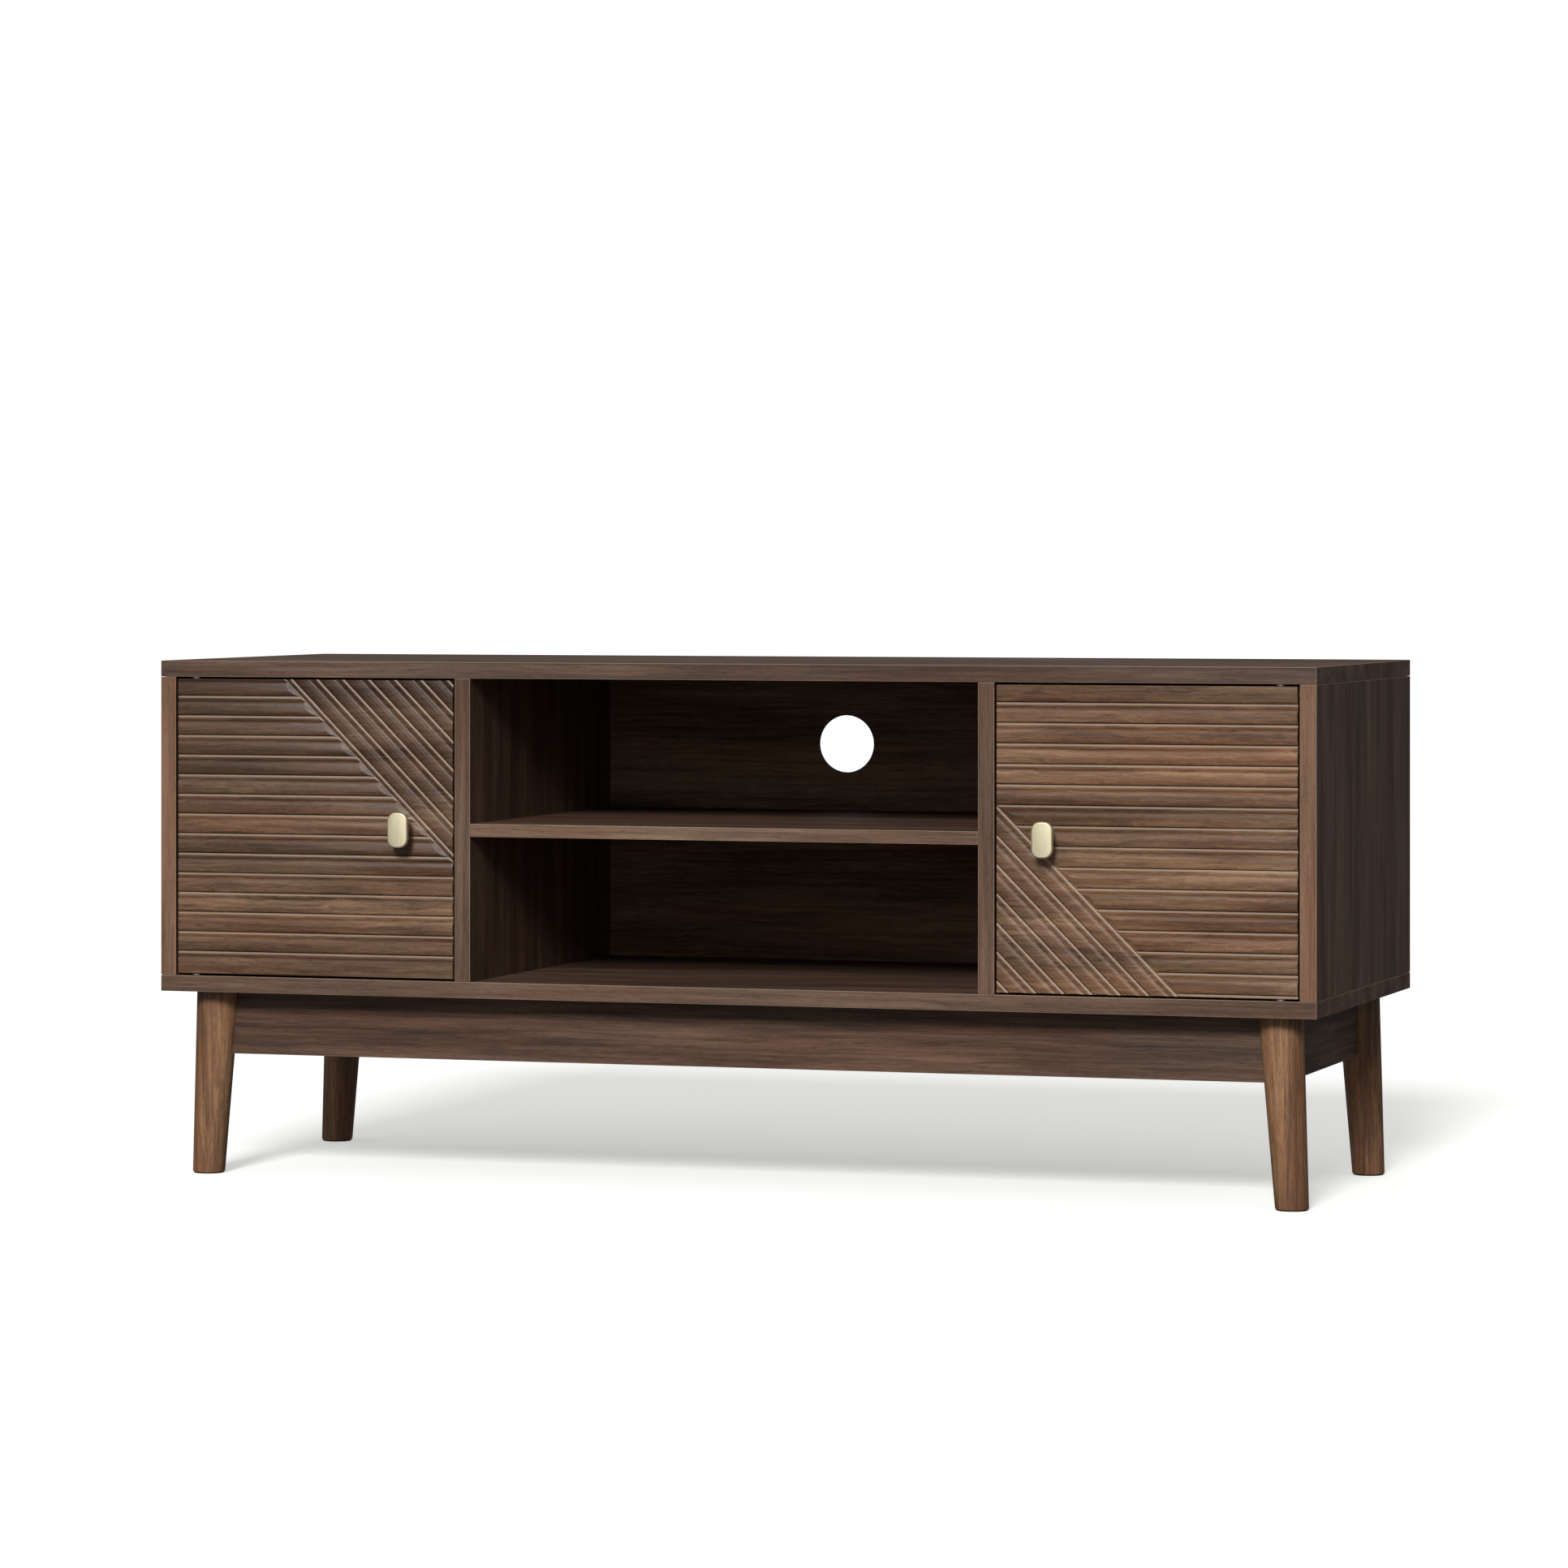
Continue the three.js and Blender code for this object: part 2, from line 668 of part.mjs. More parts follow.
const doorEnds = [
  { name: "upper", z: doorHeight / 2, flip: 0 },
  { name: "lower", z: -doorHeight / 2, flip: Math.PI },
];

for (const { name, sign } of sides) {
  const door = new THREE.Group();
  door.position.set(sign * pivotX, 0, clearMiddle);
  cabinet.add(door);
  const toCentre = -sign * (doorWidth / 2 - pivotInset);
  const toFreeEdge = -sign * (doorWidth - pivotInset);

  const turnedOver = sign > 0 ? Math.PI : 0;
  const panel = doorPanel().rotateY(turnedOver).translate(toCentre, 0, 0);
  addPart(door, `${name}_door`, panel, "doorWalnut");

  const knobX = toFreeEdge + sign * KNOB_EDGE;
  addPart(door, `${name}_knob`, knobSolid().translate(knobX, 0, 0), "satinBrass");
  addPart(
    door,
    `${name}_knob_screw`,
    turned(knobScrew).rotateX(-Math.PI / 2).translate(knobX, DOOR_BOARD, 0),
    "zincSteel",
  );

  for (const { name: end, z, flip } of doorEnds) {
    addPart(
      door,
      `${name}_${end}_pivot_bush`,
      tube(PIVOT_RADIUS + PIVOT_CLEARANCE, BUSH_RADIUS, -BUSH_LENGTH - GAP, -GAP)
        .rotateX(flip)
        .translate(0, pivotY, z),
      "whiteNylon",
    );
    addPart(
      cabinet,
      `${name}_${end}_pivot_pin`,
      turned(pivotPin).rotateX(flip).translate(sign * pivotX, pivotY, clearMiddle + z),
      "zincSteel",
    );
  }

  // The strike plate on the door meets a magnet in a housing under the top board.
  const [catchX, catchY, catchZ] = CATCH_SIZE;
  const [magnetX, magnetY, magnetZ] = MAGNET_SIZE;
  const [, strikeY, strikeZ] = STRIKE_SIZE;
  const strikeX = toFreeEdge + sign * CATCH_EDGE;
  const catchMiddle = clearTop - GAP - catchZ / 2;
  const strikeFace = DOOR_BOARD + GAP + strikeY;
  addPart(
    door,
    `${name}_strike_plate`,
    block(STRIKE_SIZE, strikeX, strikeFace - strikeY / 2, catchMiddle - clearMiddle),
    "zincSteel",
  );
  const x = sign * (freeEdge + CATCH_EDGE);
  const magnetFront = strikeFace + GAP;
  const catchFront = magnetFront + MAGNET_PROUD;
  addPart(
    cabinet,
    `${name}_catch_housing`,
    cut(block(CATCH_SIZE, x, catchFront + catchY / 2, catchMiddle), [
      box(
        x - magnetX / 2 - GAP,
        x + magnetX / 2 + GAP,
        catchFront - SPARE,
        magnetFront + magnetY + GAP,
        catchMiddle - magnetZ / 2 - GAP,
        catchMiddle + magnetZ / 2 + GAP,
      ),
    ]),
    "brownPlastic",
  );
  addPart(
    cabinet,
    `${name}_catch_magnet`,
    block(MAGNET_SIZE, x, magnetFront + magnetY / 2, catchMiddle),
    "darkFerrite",
  );
}

export default stand;
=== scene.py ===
import math

import bmesh
import bpy
from mathutils import Matrix, Vector


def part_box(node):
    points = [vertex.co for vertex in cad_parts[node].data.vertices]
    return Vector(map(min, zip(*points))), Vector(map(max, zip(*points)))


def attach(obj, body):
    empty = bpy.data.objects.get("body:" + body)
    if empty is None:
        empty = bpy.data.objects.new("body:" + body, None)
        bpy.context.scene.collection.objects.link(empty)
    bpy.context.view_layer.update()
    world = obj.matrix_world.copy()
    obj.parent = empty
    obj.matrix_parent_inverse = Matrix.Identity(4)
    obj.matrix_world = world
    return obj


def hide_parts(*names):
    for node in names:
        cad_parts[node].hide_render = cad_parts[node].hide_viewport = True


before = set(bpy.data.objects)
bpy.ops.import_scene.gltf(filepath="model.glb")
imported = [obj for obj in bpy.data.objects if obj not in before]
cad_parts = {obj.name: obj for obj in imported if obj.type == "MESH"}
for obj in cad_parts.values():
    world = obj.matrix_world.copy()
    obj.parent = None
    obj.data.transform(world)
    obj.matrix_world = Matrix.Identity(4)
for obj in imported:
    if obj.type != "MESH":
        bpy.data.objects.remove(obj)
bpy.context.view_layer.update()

scene = bpy.context.scene
MM = 0.001


# ---------------------------------------------------------------------------------------------
# Studio. A level view camera with a falling front, so uprights stay upright. One soft key stands
# in front and a little to the right. A weak fill comes mostly from the front. Backdrop and floor
# are pale.
# ---------------------------------------------------------------------------------------------
CAMERA_PLACE = (1.6914, -5.2113, 0.5777)
CAMERA_TURN = 17.985
CAMERA_LENS = 134.75
CAMERA_FALL = -0.1457

camera = bpy.data.objects.new("camera", bpy.data.cameras.new("camera"))
camera.data.lens = CAMERA_LENS
camera.data.sensor_width = 36
camera.data.shift_y = CAMERA_FALL
camera.location = CAMERA_PLACE
camera.rotation_euler = (math.pi / 2, 0, math.radians(CAMERA_TURN))
scene.collection.objects.link(camera)
scene.camera = camera
scene.view_settings.view_transform = "Standard"


def linear(code):
    """An sRGB hex colour as linear red, green, blue and alpha."""
    values = [int(code[i : i + 2], 16) / 255 for i in (1, 3, 5)]
    return (*[v / 12.92 if v <= 0.04045 else ((v + 0.055) / 1.055) ** 2.4 for v in values], 1)


def add(tree, kind, settings=(), links=()):
    """Adds a node. Settings and links go to its sockets by name or number, or else to its fields.

    "stops" fills a colour ramp."""
    node = tree.nodes.new(kind)
    for name, value in dict(settings).items():
        if name == "stops":
            while len(node.color_ramp.elements) < len(value):
                node.color_ramp.elements.new(1)
            for element, (place, code) in zip(node.color_ramp.elements, value):
                element.position = place
                element.color = linear(code)
        elif isinstance(name, int) or name in node.inputs:
            node.inputs[name].default_value = value
        else:
            setattr(node, name, value)
    for name, socket in dict(links).items():
        tree.links.new(socket, node.inputs[name])
    return node


def blank(name):
    """A material with an empty node tree, and its tree."""
    material = bpy.data.materials.new(name)
    material.use_nodes = True
    material.node_tree.nodes.clear()
    return material, material.node_tree


def surface(tree, settings, links):
    """Ends a material with its shader."""
    shader = add(tree, "ShaderNodeBsdfPrincipled", settings, links)
    add(tree, "ShaderNodeOutputMaterial", {}, {"Surface": shader.outputs[0]})


KEY_HEIGHT = 28
KEY_RIGHT = 6
KEY_ENERGY = 2.95
KEY_SPREAD = 14
key = bpy.data.objects.new("key", bpy.data.lights.new("key", "SUN"))
key.data.energy = KEY_ENERGY
key.data.angle = math.radians(KEY_SPREAD)
key.rotation_euler = (math.radians(90 - KEY_HEIGHT), 0, math.radians(KEY_RIGHT))
scene.collection.objects.link(key)

FILL_FRONT = 0.5
FILL_REAR = 0.24
FILL_BELOW = 0.3
world = bpy.data.worlds.new("studio")
world.use_nodes = True
world.node_tree.nodes.clear()
scene.world = world
air = world.node_tree
direction = add(air, "ShaderNodeTexCoord").outputs["Generated"]
towards = add(air, "ShaderNodeSeparateXYZ", {}, {0: direction})
fill = add(
    air,
    "ShaderNodeMapRange",
    {"interpolation_type": "SMOOTHSTEP", 1: -0.9, 2: 0.5, 3: FILL_FRONT, 4: FILL_REAR},
    {0: towards.outputs["Y"]},
)
below = add(
    air, "ShaderNodeMapRange", {1: -0.25, 2: 0.25, 3: FILL_BELOW, 4: 1.0}, {0: towards.outputs["Z"]}
)
soft = add(
    air, "ShaderNodeMath", {"operation": "MULTIPLY"}, {0: fill.outputs[0], 1: below.outputs[0]}
)
lamp = add(air, "ShaderNodeBackground", {"Color": linear("#ffffff")}, {"Strength": soft.outputs[0]})
paper = add(air, "ShaderNodeBackground", {"Color": linear("#ffffff"), "Strength": 1.0})
seen = add(air, "ShaderNodeLightPath").outputs["Is Camera Ray"]
sky = add(air, "ShaderNodeMixShader", {}, {0: seen, 1: lamp.outputs[0], 2: paper.outputs[0]})
add(air, "ShaderNodeOutputWorld", {}, {"Surface": sky.outputs[0]})

FLOOR_HALF = 60
floor_shape = bmesh.new()
bmesh.ops.create_grid(floor_shape, x_segments=1, y_segments=1, size=FLOOR_HALF)
floor_mesh = bpy.data.meshes.new("floor")
floor_shape.to_mesh(floor_mesh)
floor_shape.free()
floor = bpy.data.objects.new("floor", floor_mesh)
scene.collection.objects.link(floor)
floor_material, tree = blank("pale studio floor")
spread = add(tree, "ShaderNodeTexNoise", {"Scale": 3.0, "Detail": 2.0})
tint = add(
    tree,
    "ShaderNodeValToRGB",
    {"stops": [(0.3, "#f0f0ee"), (0.7, "#f6f6f5")]},
    {0: spread.outputs[0]},
)
surface(
    tree,
    {"Roughness": 0.9, "Specular IOR Level": 0.1, "Emission Strength": 0.52},
    {"Base Color": tint.outputs[0], "Emission Color": tint.outputs[0]},
)
floor_mesh.materials.append(floor_material)
floor.visible_diffuse = False
floor.visible_glossy = False


# ---------------------------------------------------------------------------------------------
# Case boards. 15 mm particle board faced with a satin printed walnut laminate and edged with
# 0.5 mm banding. The edge where banding meets face is eased with a scraper; its eased faces carry a
# painted highlight.
# ---------------------------------------------------------------------------------------------
ARRIS = 0.5 * MM
MERGE = 0.001 * MM


def walnut(name, grain, tones, figure, roughness, shine, bands_by=None):
    """Satin walnut. Grain is the axis that it follows, figure how far its lines wander in mm.

    Bands 30 mm wide carry the colour, streaks 3 mm wide the grain, and 0.9 mm fibres with dark
    pores 9 mm long the texture. Real pores are 0.2 mm wide, drawn here as 0.5 mm to show.
    bands_by gives (low, high, stops), tones printed by height. Faces with one face mark darken as
    painted shade, and faces with another are lightened as a painted highlight."""
    material, tree = blank(name)
    turn = {"X": (0, 0, 0), "Y": (0, 0, math.pi / 2), "Z": (0, math.pi / 2, 0)}[grain]
    place = add(tree, "ShaderNodeTexCoord").outputs["Object"]
    along = add(tree, "ShaderNodeMapping", {"Rotation": turn}, {"Vector": place}).outputs[0]

    def layer(length, width, detail, source, low=0.0, high=1.0):
        """Noise drawn out along the grain, stretched so that low to high fills 0 to 1.

        Length and width are the size of one mark in mm."""
        scale = (1 / (length * MM), 1 / (width * MM), 1 / (width * MM))
        drawn = add(tree, "ShaderNodeMapping", {"Scale": scale}, {"Vector": source})
        noise = add(
            tree,
            "ShaderNodeTexNoise",
            {"Scale": 1.0, "Detail": detail, "Roughness": 0.6},
            {"Vector": drawn.outputs[0]},
        )
        filled = add(tree, "ShaderNodeMapRange", {1: low, 2: high}, {0: noise.outputs["Fac"]})
        return filled.outputs[0]

    drift = layer(110, 30, 3, along)
    wander = add(tree, "ShaderNodeMapRange", {3: -figure * MM, 4: figure * MM}, {0: drift})
    shift = add(
        tree, "ShaderNodeCombineXYZ", {}, {"Y": wander.outputs[0], "Z": wander.outputs[0]}
    )
    bent = add(
        tree, "ShaderNodeVectorMath", {"operation": "ADD"}, {0: along, 1: shift.outputs[0]}
    ).outputs[0]

    bands = layer(330, 30, 2, bent, 0.35, 0.65)
    streaks = layer(130, 3.2, 4, bent, 0.33, 0.67)
    fibres = layer(28, 0.9, 2, bent, 0.28, 0.72)
    pores = layer(9, 0.5, 1, bent, 0.3, 0.42)
    warmth = layer(260, 45, 1, along, 0.35, 0.65)

    grainy = add(tree, "ShaderNodeMix", {0: 0.5}, {2: bands, 3: streaks}).outputs[0]
    whole = add(tree, "ShaderNodeMix", {0: 0.24}, {2: grainy, 3: fibres}).outputs[0]
    stops = [(0.15, tones[0]), (0.4, tones[1]), (0.6, tones[2]), (0.85, tones[3])]
    colour = add(tree, "ShaderNodeValToRGB", {"stops": stops}, {0: whole}).outputs[0]
    tinted = {"data_type": "RGBA", "blend_type": "MULTIPLY"}
    if bands_by:
        low, high, printed = bands_by
        height = add(tree, "ShaderNodeSeparateXYZ", {}, {0: bent}).outputs["Z"]
        rise = add(tree, "ShaderNodeMapRange", {1: low, 2: high}, {0: height}).outputs[0]
        tone = add(tree, "ShaderNodeValToRGB", {"stops": printed}, {0: rise}).outputs[0]
        colour = add(tree, "ShaderNodeMix", {**tinted, 0: 1.0}, {6: colour, 7: tone}).outputs[2]

    warm_share = add(tree, "ShaderNodeMapRange", {3: 0.0, 4: 0.3}, {0: warmth}).outputs[0]
    warm = {"data_type": "RGBA", "blend_type": "SOFT_LIGHT", 7: linear("#a4683c")}
    colour = add(tree, "ShaderNodeMix", warm, {0: warm_share, 6: colour}).outputs[2]

    pore_share = add(tree, "ShaderNodeMapRange", {3: 0.42, 4: 0.0}, {0: pores}).outputs[0]
    pore_tone = {**tinted, 7: linear("#4a382c")}
    colour = add(tree, "ShaderNodeMix", pore_tone, {0: pore_share, 6: colour}).outputs[2]
    # Painted shade: faces marked for it darken, standing in for shadow in the grooves.
    shade_fac = add(tree, "ShaderNodeAttribute", {"attribute_name": "sunk"}).outputs["Fac"]
    shade_share = add(tree, "ShaderNodeMapRange", {3: 0.0, 4: 0.75}, {0: shade_fac}).outputs[0]
    shade_tone = {**tinted, 7: linear("#3c2c20")}
    colour = add(tree, "ShaderNodeMix", shade_tone, {0: shade_share, 6: colour}).outputs[2]
    # Painted highlight: faces marked for it turn paler.
    highlight_fac = add(tree, "ShaderNodeAttribute", {"attribute_name": "arris"}).outputs["Fac"]
    highlight_share = add(tree, "ShaderNodeMapRange", {3: 0.0, 4: 0.5}, {0: highlight_fac}).outputs[0]
    highlight_tone = {"data_type": "RGBA", 7: linear("#a08a76")}
    colour = add(tree, "ShaderNodeMix", highlight_tone, {0: highlight_share, 6: colour}).outputs[2]

    polish = {3: roughness + 0.07, 4: roughness - 0.05}
    rough = add(tree, "ShaderNodeMapRange", polish, {0: whole}).outputs[0]
    relief = add(tree, "ShaderNodeMix", {0: 0.35}, {2: pores, 3: fibres}).outputs[0]
    bump = add(
        tree, "ShaderNodeBump", {"Strength": 0.3, "Distance": 0.1 * MM}, {"Height": relief}
    )
    surface(
        tree,
        {"IOR": 1.5, "Specular IOR Level": shine},
        {"Base Color": colour, "Roughness": rough, "Normal": bump.outputs[0]},
    )
    return material


BOARD_TONES = ["#3a2d25", "#4f3d32", "#5f4a3d", "#705a4a"]
BANDING_TONES = ["#40322a", "#524137", "#604d40", "#705c4e"]
SIDE_TONES = ["#5d4534", "#6d5340", "#795d49", "#866a55"]
DIVIDER_TONES = ["#4b3a30", "#5b483b", "#685244", "#755f51"]
level_laminate = walnut("walnut laminate, grain level", "X", BOARD_TONES, 3, 0.55, 0.2)
upright_laminate = walnut("walnut laminate, grain upright", "Z", BOARD_TONES, 3, 0.55, 0.2)
level_banding = walnut("walnut edge banding, grain level", "X", BANDING_TONES, 2, 0.5, 0.2)
side_banding = walnut("pale walnut edge banding, upright", "Z", SIDE_TONES, 2, 0.5, 0.2)
divider_banding = walnut("mid walnut edge banding, upright", "Z", DIVIDER_TONES, 2, 0.5, 0.2)


def merged(node):
    """A joined-up copy of a CAD node's mesh, with its flat faces whole."""
    shape = bmesh.new()
    shape.from_mesh(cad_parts[node].data)
    bmesh.ops.remove_doubles(shape, verts=shape.verts, dist=MERGE)
    bmesh.ops.dissolve_limit(
        shape, angle_limit=math.radians(1), verts=shape.verts, edges=shape.edges
    )
    return shape


def ease(shape, node, size):
    """Rounds the edges along the outside of a board, and marks the new faces for a painted highlight.
    """
    low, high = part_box(node)
    edges = []
    for edge in shape.edges:
        a, b = [v.co for v in edge.verts]
        planes = [
            (i, limit[i])
            for i in range(3)
            for limit in (low, high)
            if abs(a[i] - limit[i]) < MERGE * 10 and abs(b[i] - limit[i]) < MERGE * 10
        ]
        if len(planes) == 2:
            edges.append(edge)
    mark = shape.faces.layers.float.new("arris")
    made = bmesh.ops.bevel(
        shape,
        geom=edges,
        offset=size,
        offset_type="OFFSET",
        affect="EDGES",
        segments=3,
        profile=0.5,
        material=-1,
    )
    for face in made["faces"]:
        face[mark] = 1.0


def piece(shape, name, materials, body, nodes=(), smooth=None):
    """Makes a finished bmesh a piece that rides on a body and stands for its CAD nodes."""
    if smooth is not None:
        for face in shape.faces:
            face.smooth = True
        for edge in shape.edges:
            edge.smooth = edge.is_manifold and edge.calc_face_angle(0) < math.radians(smooth)
    mesh = bpy.data.meshes.new(name)
    shape.to_mesh(mesh)
    shape.free()
    for material in materials:
        mesh.materials.append(material)
    made = bpy.data.objects.new(name, mesh)
    scene.collection.objects.link(made)
    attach(made, body)
    if nodes:
        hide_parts(*nodes)
    return made


def board(node, face, banding):
    """A board with its faces in one print and its front edge banded in another."""
    shape = merged(node)
    ease(shape, node, ARRIS)
    for part in shape.faces:
        part.material_index = 1 if part.normal.y < -0.7 else 0
    piece(shape, f"{node}_faced", [face, banding], "case", [node])


for node in ("top_panel", "bottom_panel"):
    board(node, level_laminate, level_banding)
for node in ("left_side_panel", "right_side_panel"):
    board(node, upright_laminate, side_banding)
for node in ("left_divider", "right_divider"):
    board(node, upright_laminate, divider_banding)


# ---------------------------------------------------------------------------------------------
# Centre shelf. 12 mm board in the same laminate, flush with the front of the case.
# ---------------------------------------------------------------------------------------------
SHELF_TONES = ["#513f32", "#655041", "#765f4c", "#866f5a"]
shelf_banding = walnut("pale walnut edge banding, level", "X", SHELF_TONES, 2, 0.5, 0.2)
board("centre_shelf", level_laminate, shelf_banding)


# ---------------------------------------------------------------------------------------------
# Back panels. 3 mm fibreboard, printed walnut inside and bare brown behind, slid into grooves.
# The middle one is drilled for cables.
# ---------------------------------------------------------------------------------------------
BACK_TONES = ["#4b3b2d", "#62503e", "#775e4a", "#8b725b"]
printed_back = walnut("printed walnut sheet", "X", BACK_TONES, 6, 0.65, 0.15)

bare_back, tree = blank("bare brown fibreboard")
place = add(tree, "ShaderNodeTexCoord").outputs["Object"]
fleck = add(tree, "ShaderNodeTexNoise", {"Scale": 900.0, "Detail": 3.0}, {"Vector": place})
cloud = add(tree, "ShaderNodeTexNoise", {"Scale": 14.0, "Detail": 2.0}, {"Vector": place})
both = add(tree, "ShaderNodeMix", {0: 0.4}, {2: fleck.outputs[0], 3: cloud.outputs[0]})
tint = add(
    tree,
    "ShaderNodeValToRGB",
    {"stops": [(0.35, "#5d432d"), (0.5, "#6f5238"), (0.65, "#806144")]},
    {0: both.outputs[0]},
)
bump = add(
    tree, "ShaderNodeBump", {"Strength": 0.3, "Distance": 0.06 * MM}, {"Height": fleck.outputs[0]}
)
surface(
    tree,
    {"Roughness": 0.75, "Specular IOR Level": 0.2},
    {"Base Color": tint.outputs[0], "Normal": bump.outputs[0]},
)

for node in ("left_back_panel", "centre_back_panel", "right_back_panel"):
    shape = merged(node)
    for face in shape.faces:
        face.material_index = 0 if face.normal.y < -0.5 else 1
    piece(shape, f"{node}_sheet", [printed_back, bare_back], "case", [node])


# ---------------------------------------------------------------------------------------------
# Aprons. 15 mm board on edge under the case, ends scribed round the legs, grain level.
# ---------------------------------------------------------------------------------------------
end_laminate = walnut("walnut laminate, grain front to back", "Y", BOARD_TONES, 3, 0.55, 0.2)
for node in ("front_apron", "rear_apron"):
    board(node, level_laminate, level_laminate)
for node in ("left_apron", "right_apron"):
    board(node, end_laminate, end_laminate)


# ---------------------------------------------------------------------------------------------
# Legs. Solid beech turned to a taper, stained walnut and lacquered satin, leaned outwards and sawn
# level. The grain runs up the leg, with the stain darker in the pores.
# ---------------------------------------------------------------------------------------------
LEG_TONES = ["#4e3828", "#6e503a", "#876548", "#a07b5b"]
LEG_SIDES = 96
LEG_SPLAY = math.radians(3.3)
leg_wood = walnut("stained solid wood, grain upright", "Z", LEG_TONES, 5, 0.5, 0.35)


def drilled(target, cutters):
    """The mesh of an object with other shapes cut from it."""
    for cutter in cutters:
        modifier = target.modifiers.new("cut", "BOOLEAN")
        modifier.operation = cutter[0]
        modifier.solver = "EXACT"
        modifier.object = cutter[1]
    result = bpy.data.meshes.new_from_object(
        target.evaluated_get(bpy.context.evaluated_depsgraph_get())
    )
    shape = bmesh.new()
    shape.from_mesh(result)
    bpy.data.meshes.remove(result)
    for used in [target] + [cutter[1] for cutter in cutters]:
        bpy.data.objects.remove(used)
    bmesh.ops.remove_doubles(shape, verts=shape.verts, dist=MERGE)
    bmesh.ops.dissolve_degenerate(shape, edges=shape.edges, dist=MERGE)
    return shape


def tool(shape):
    """A shape as a plain object, to cut or be cut."""
    mesh = bpy.data.meshes.new("tool")
    shape.to_mesh(mesh)
    shape.free()
    made = bpy.data.objects.new("tool", mesh)
    scene.collection.objects.link(made)
    return made


def rod(radius, start, end, sides=48):
    """A round bar between two points."""
    shape = bmesh.new()
    line = Vector(end) - Vector(start)
    bmesh.ops.create_cone(
        shape,
        cap_ends=True,
        segments=sides,
        radius1=radius,
        radius2=radius,
        depth=line.length,
        matrix=Matrix.Translation((Vector(start) + Vector(end)) / 2)
        @ line.to_track_quat("Z", "Y").to_matrix().to_4x4(),
    )
    return shape


LEG_TOP_RADIUS = 20 * MM
LEG_FOOT_RADIUS = 15 * MM
LEG_SPARE = 10 * MM
FOOT_ARRIS = 0.6 * MM
BOLT_HOLE_RADIUS = 4.3 * MM
NAIL_HOLE_RADIUS = 1.5 * MM
for end in ("front", "rear"):
    for side, sign in (("left", -1), ("right", 1)):
        corner = f"{end}_{side}"
        low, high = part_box(f"{corner}_leg")
        bolt_low, bolt_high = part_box(f"{corner}_hanger_bolt")
        glide_low, glide_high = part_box(f"{corner}_foot_glide")
        axis_x = (bolt_low.x + bolt_high.x) / 2
        axis_y = (bolt_low.y + bolt_high.y) / 2
        foot_x = (glide_low.x + glide_high.x) / 2
        length = high.z - low.z
        taper = (LEG_TOP_RADIUS - LEG_FOOT_RADIUS) / length
        lean = Matrix.Translation((axis_x, axis_y, high.z)) @ Matrix.Rotation(
            -sign * LEG_SPLAY, 4, "Y"
        )
        cone = bmesh.new()
        bmesh.ops.create_cone(
            cone,
            cap_ends=True,
            segments=LEG_SIDES,
            radius1=LEG_FOOT_RADIUS - taper * LEG_SPARE,
            radius2=LEG_TOP_RADIUS + taper * LEG_SPARE,
            depth=length + 2 * LEG_SPARE,
            matrix=lean @ Matrix.Translation((0, 0, -length / 2)),
        )
        for level, normal in ((low.z, (0, 0, -1)), (high.z, (0, 0, 1))):
            cut = bmesh.ops.bisect_plane(
                cone,
                geom=cone.verts[:] + cone.edges[:] + cone.faces[:],
                plane_co=(0, 0, level),
                plane_no=normal,
                clear_outer=True,
            )
            rim = [e for e in cut["geom_cut"] if isinstance(e, bmesh.types.BMEdge)]
            bmesh.ops.edgeloop_fill(cone, edges=rim)
        foot_rim = [
            e for e in cone.edges if all(abs(v.co.z - low.z) < MERGE * 10 for v in e.verts)
        ]
        bmesh.ops.bevel(
            cone,
            geom=foot_rim,
            offset=FOOT_ARRIS,
            affect="EDGES",
            segments=3,
            profile=0.5,
            material=-1,
        )
        bolt_top = (axis_x, axis_y, high.z + MM)
        bolt_hole = rod(BOLT_HOLE_RADIUS, (axis_x, axis_y, bolt_low.z), bolt_top)
        nail_top = (foot_x, axis_y, glide_high.z)
        nail_hole = rod(NAIL_HOLE_RADIUS, (foot_x, axis_y, low.z - MM), nail_top)
        shape = drilled(
            tool(cone), [("DIFFERENCE", tool(bolt_hole)), ("DIFFERENCE", tool(nail_hole))]
        )
        piece(shape, f"{corner}_turned_leg", [leg_wood], "case", [f"{corner}_leg"], 25)


# ---------------------------------------------------------------------------------------------
# Glides and leg fixings. Thin brown polypropylene discs nailed under the feet; above the legs,
# zinc plated hanger bolts run into steel inserts. Only their edges ever show.
# ---------------------------------------------------------------------------------------------
def moulded(name, tones, roughness):
    """A matt moulded plastic, its skin faintly mottled by the mould's 0.4 mm spark texture."""
    material, tree = blank(name)
    place = add(tree, "ShaderNodeTexCoord").outputs["Object"]
    skin = add(
        tree, "ShaderNodeTexNoise", {"Scale": 1 / (0.4 * MM), "Detail": 2.0}, {"Vector": place}
    )
    flow = add(tree, "ShaderNodeTexNoise", {"Scale": 1 / (12 * MM)}, {"Vector": place})
    stops = [(0.35, tones[0]), (0.65, tones[1])]
    tint = add(tree, "ShaderNodeValToRGB", {"stops": stops}, {0: flow.outputs[0]})
    bump = add(
        tree,
        "ShaderNodeBump",
        {"Strength": 0.3, "Distance": 0.03 * MM},
        {"Height": skin.outputs[0]},
    )
    surface(
        tree,
        {"IOR": 1.49, "Roughness": roughness},
        {"Base Color": tint.outputs[0], "Normal": bump.outputs[0]},
    )
    return material


brown_plastic = moulded("brown moulded polypropylene", ["#35281f", "#43332a"], 0.55)

